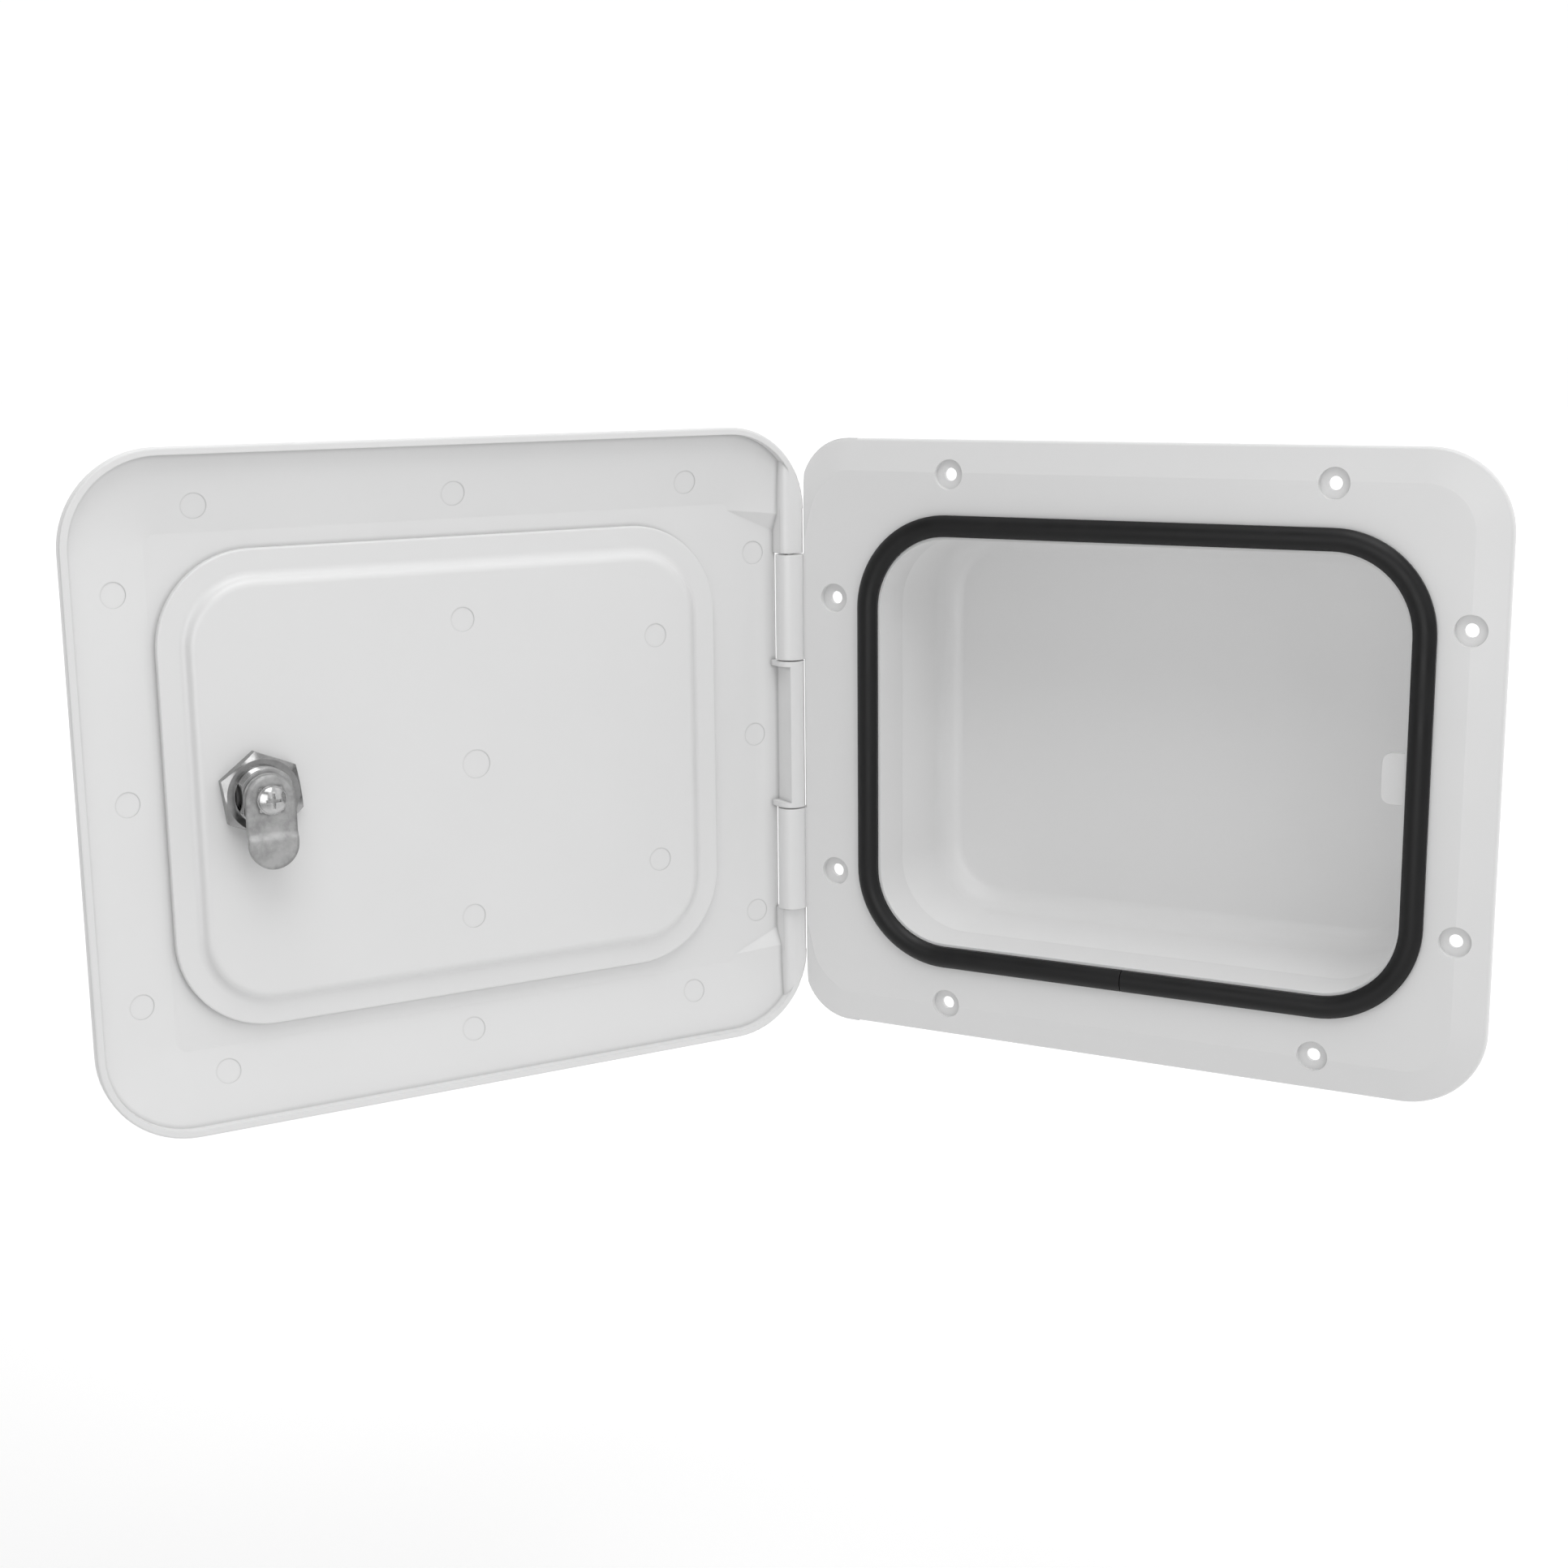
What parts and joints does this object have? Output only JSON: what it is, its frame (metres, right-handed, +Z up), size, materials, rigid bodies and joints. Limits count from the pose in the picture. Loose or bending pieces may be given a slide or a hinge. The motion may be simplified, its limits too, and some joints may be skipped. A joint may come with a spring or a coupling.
{
  "type": "caravan access door",
  "caption": "Lockable access door for a caravan wall: a flanged frame with a rubber seal and a shallow closed box, and a hinged domed lid with a cam lock.",
  "frame": {"origin": "middle of the flange's back face, which lies flat on the wall, with the lid hinged on the -X side", "axes": "+Z up, the front of the door faces -Y and +Y points into the wall, +X to the right seen from the front"},
  "size_m": [0.3959, 0.2804, 0.2268],
  "materials": {
    "frame_abs": "satin gloss",
    "box_abs": "satin gloss",
    "lid_abs": "satin gloss",
    "seal_rubber": "satin",
    "pin_steel": "drawn",
    "lock_chrome": "polished",
    "nut_chrome": "polished",
    "plug_chrome": "polished",
    "cam_steel": "zinc plated",
    "screw_steel": "zinc plated"
  },
  "bodies": {
    "frame": {"frame": "frame_abs", "box": "box_abs", "seal": "seal_rubber", "hinge_pin": "pin_steel"},
    "lid": {"lid": "lid_abs", "lock_body": "lock_chrome", "lock_nut": "nut_chrome"},
    "cam": {"lock_plug": "plug_chrome", "cam": "cam_steel", "cam_screw": "screw_steel"}
  },
  "joints": [
    {"name": "lid_hinge", "type": "hinge", "parent": "frame", "child": "lid", "pos_m": [-0.1308, -0.0053, 0], "axis": [0, 0, -1], "range_deg": [-122, 23]},
    {"name": "cam_turn", "type": "hinge", "parent": "lid", "child": "cam", "pos_m": [-0.23303, -0.17891, 0], "axis": [-0.848, 0.5299, 0], "range_deg": [0, 90]}
  ]
}
